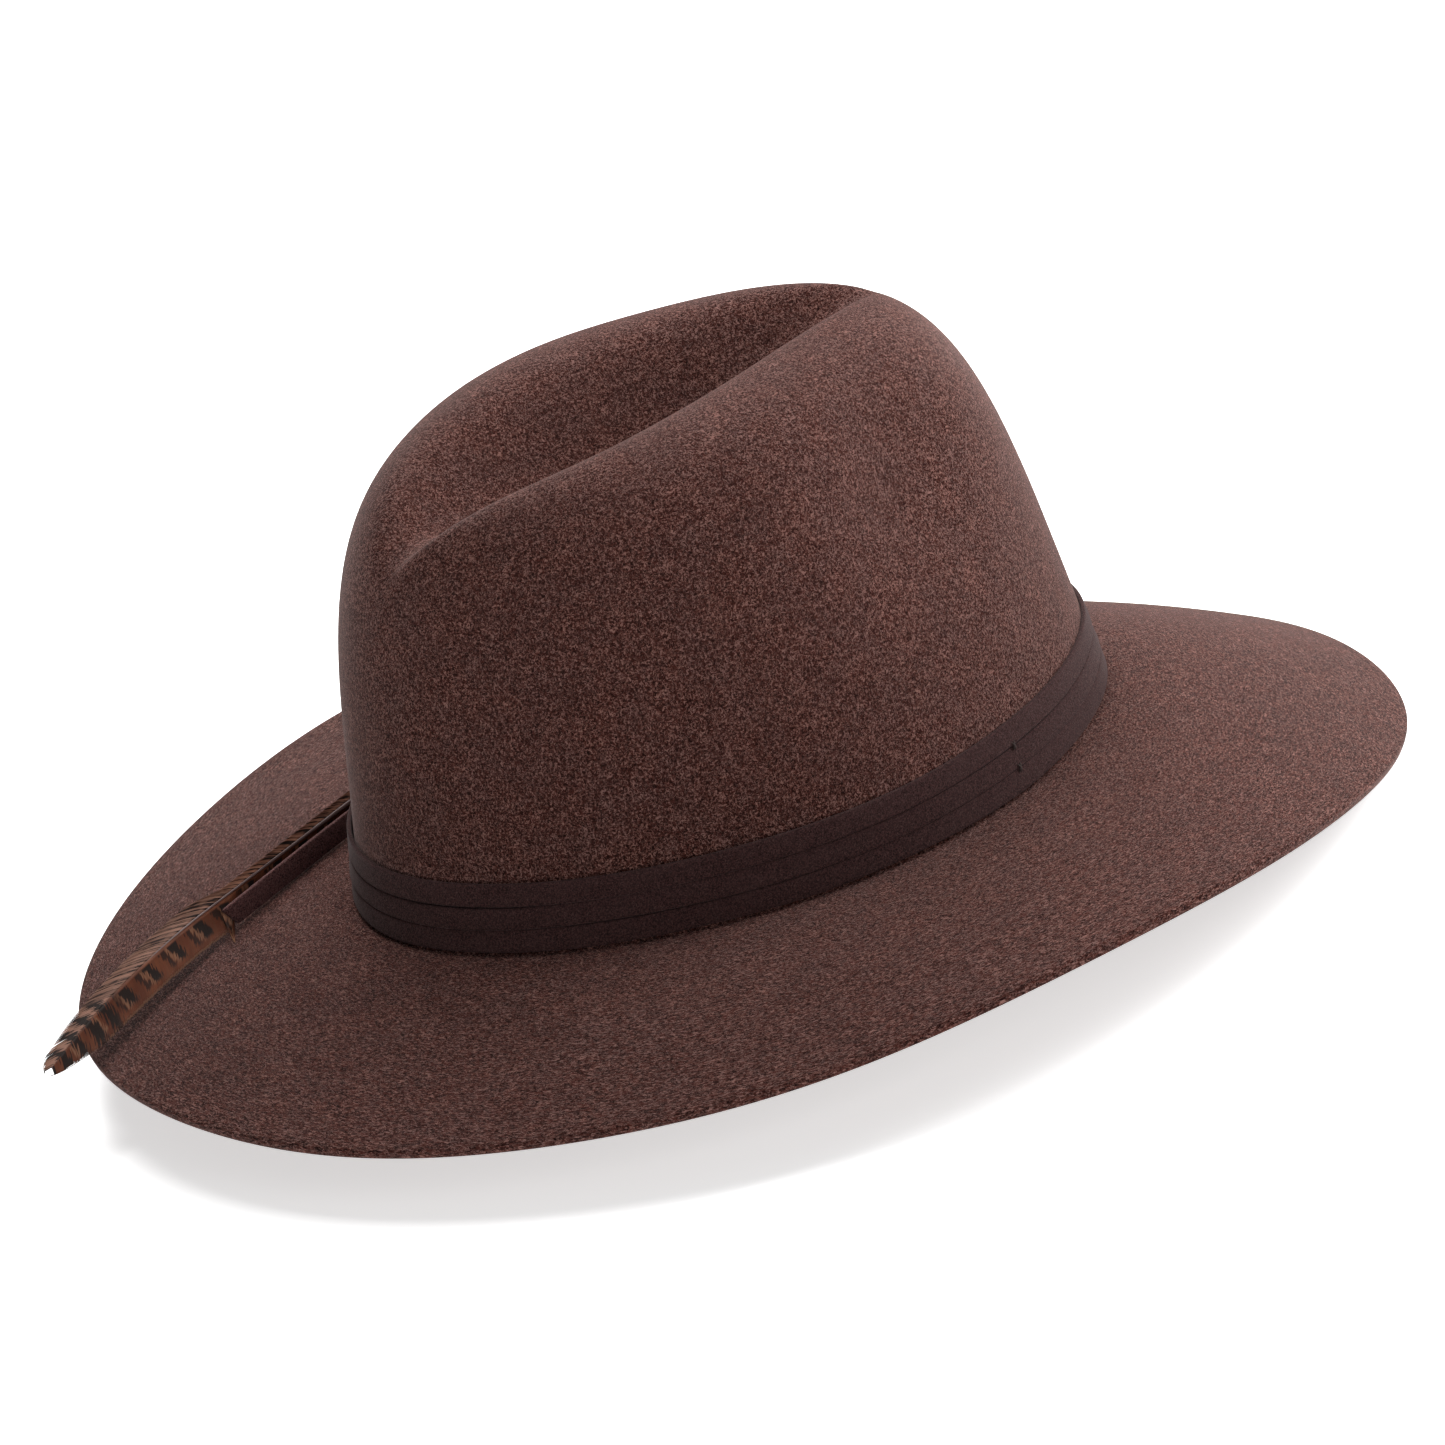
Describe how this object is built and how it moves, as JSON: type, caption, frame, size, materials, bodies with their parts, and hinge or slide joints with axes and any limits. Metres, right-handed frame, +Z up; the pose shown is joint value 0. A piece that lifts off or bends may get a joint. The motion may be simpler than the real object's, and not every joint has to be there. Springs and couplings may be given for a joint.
{
  "type": "fedora hat",
  "caption": "Wide-brimmed wool-felt fedora with a teardrop crown, a strap band wrapped round the crown and a barred feather held beside the strap's free tail.",
  "frame": {"origin": "centre of the head opening, in the plane where the crown wall meets the brim", "axes": "+Z up as worn, -Y towards the wearer's face, +X towards the wearer's left"},
  "size_m": [0.3166, 0.3658, 0.1465],
  "materials": {
    "felt": "brown melange wool felt, matte and hairy",
    "strap": "dark brown suede strap, matte",
    "thread": "dark brown sewing thread",
    "quill": "natural feather shaft, pale mauve grey",
    "vane": "pheasant feather vane, rust with dark bars",
    "sweatband": "smooth brown sweatband leather",
    "grosgrain": "ribbed brown tape",
    "reed": "clear plastic reed",
    "satin": "brown satin lining",
    "label": "blank woven label"
  },
  "bodies": {
    "hat": {"felt_body": "felt", "band_wrap_lower": "strap", "band_wrap_middle": "strap", "band_wrap_upper": "strap", "band_tail": "strap", "band_keeper": "strap", "band_tacks": "thread", "keeper_tacks": "thread", "sweatband": "sweatband", "sweatband_rear_tape": "grosgrain", "sweatband_bow": "grosgrain", "sweatband_reed": "reed", "reed_tape": "grosgrain", "sweatband_stitches": "thread", "lining_side": "satin", "lining_top": "satin", "size_label": "label"},
    "feather": {"feather_quill": "quill", "feather_vane_upper": "vane", "feather_vane_lower": "vane"}
  },
  "joints": [
    {"name": "feather_slide", "type": "slide", "parent": "hat", "child": "feather", "axis": [-0.2322, 0.969, -0.0847], "range_m": [0, 0.06]}
  ]
}
